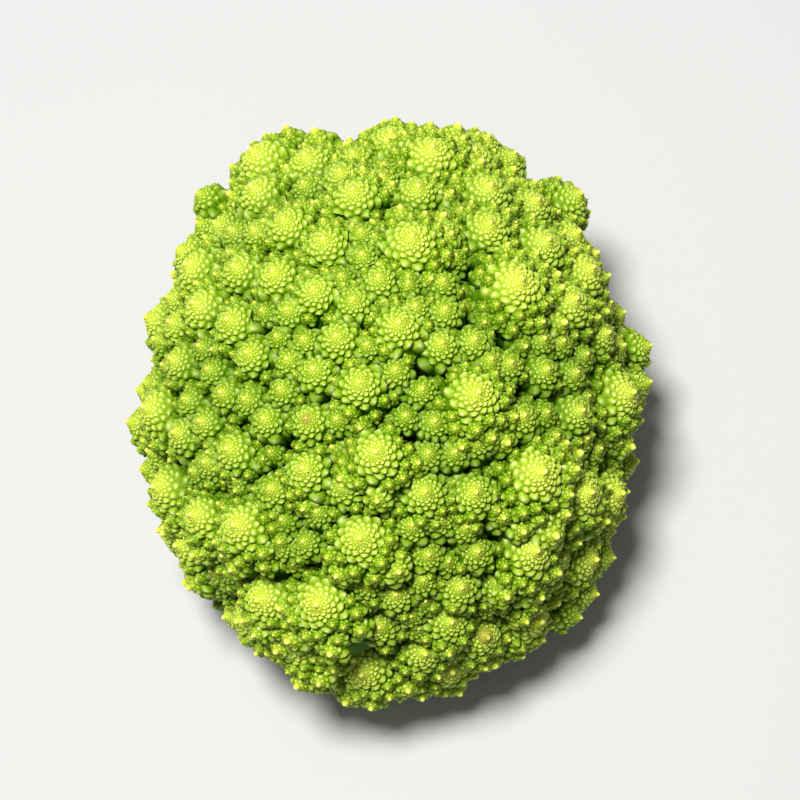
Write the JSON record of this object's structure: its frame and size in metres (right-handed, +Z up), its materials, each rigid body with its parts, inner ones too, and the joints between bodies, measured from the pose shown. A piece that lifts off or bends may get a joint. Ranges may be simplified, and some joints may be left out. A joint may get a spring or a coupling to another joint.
{
  "type": "romanesco head",
  "caption": "Whole trimmed romanesco: a dome of pointed spiral florets on the short flared stub of its cut stalk.",
  "frame": {"origin": "centre of the flat cut end of the stalk", "axes": "+Z up the stalk's axis towards the crown, X and Y level; the picture looks down from the -Y side"},
  "size_m": [0.1574, 0.1694, 0.1268],
  "materials": {
    "curd": "fresh waxy plant surface, soft sheen",
    "stalk": "pale green plant skin with a moist cut"
  },
  "bodies": {
    "root": {"curd": "curd", "stalk": "stalk"}
  },
  "joints": []
}
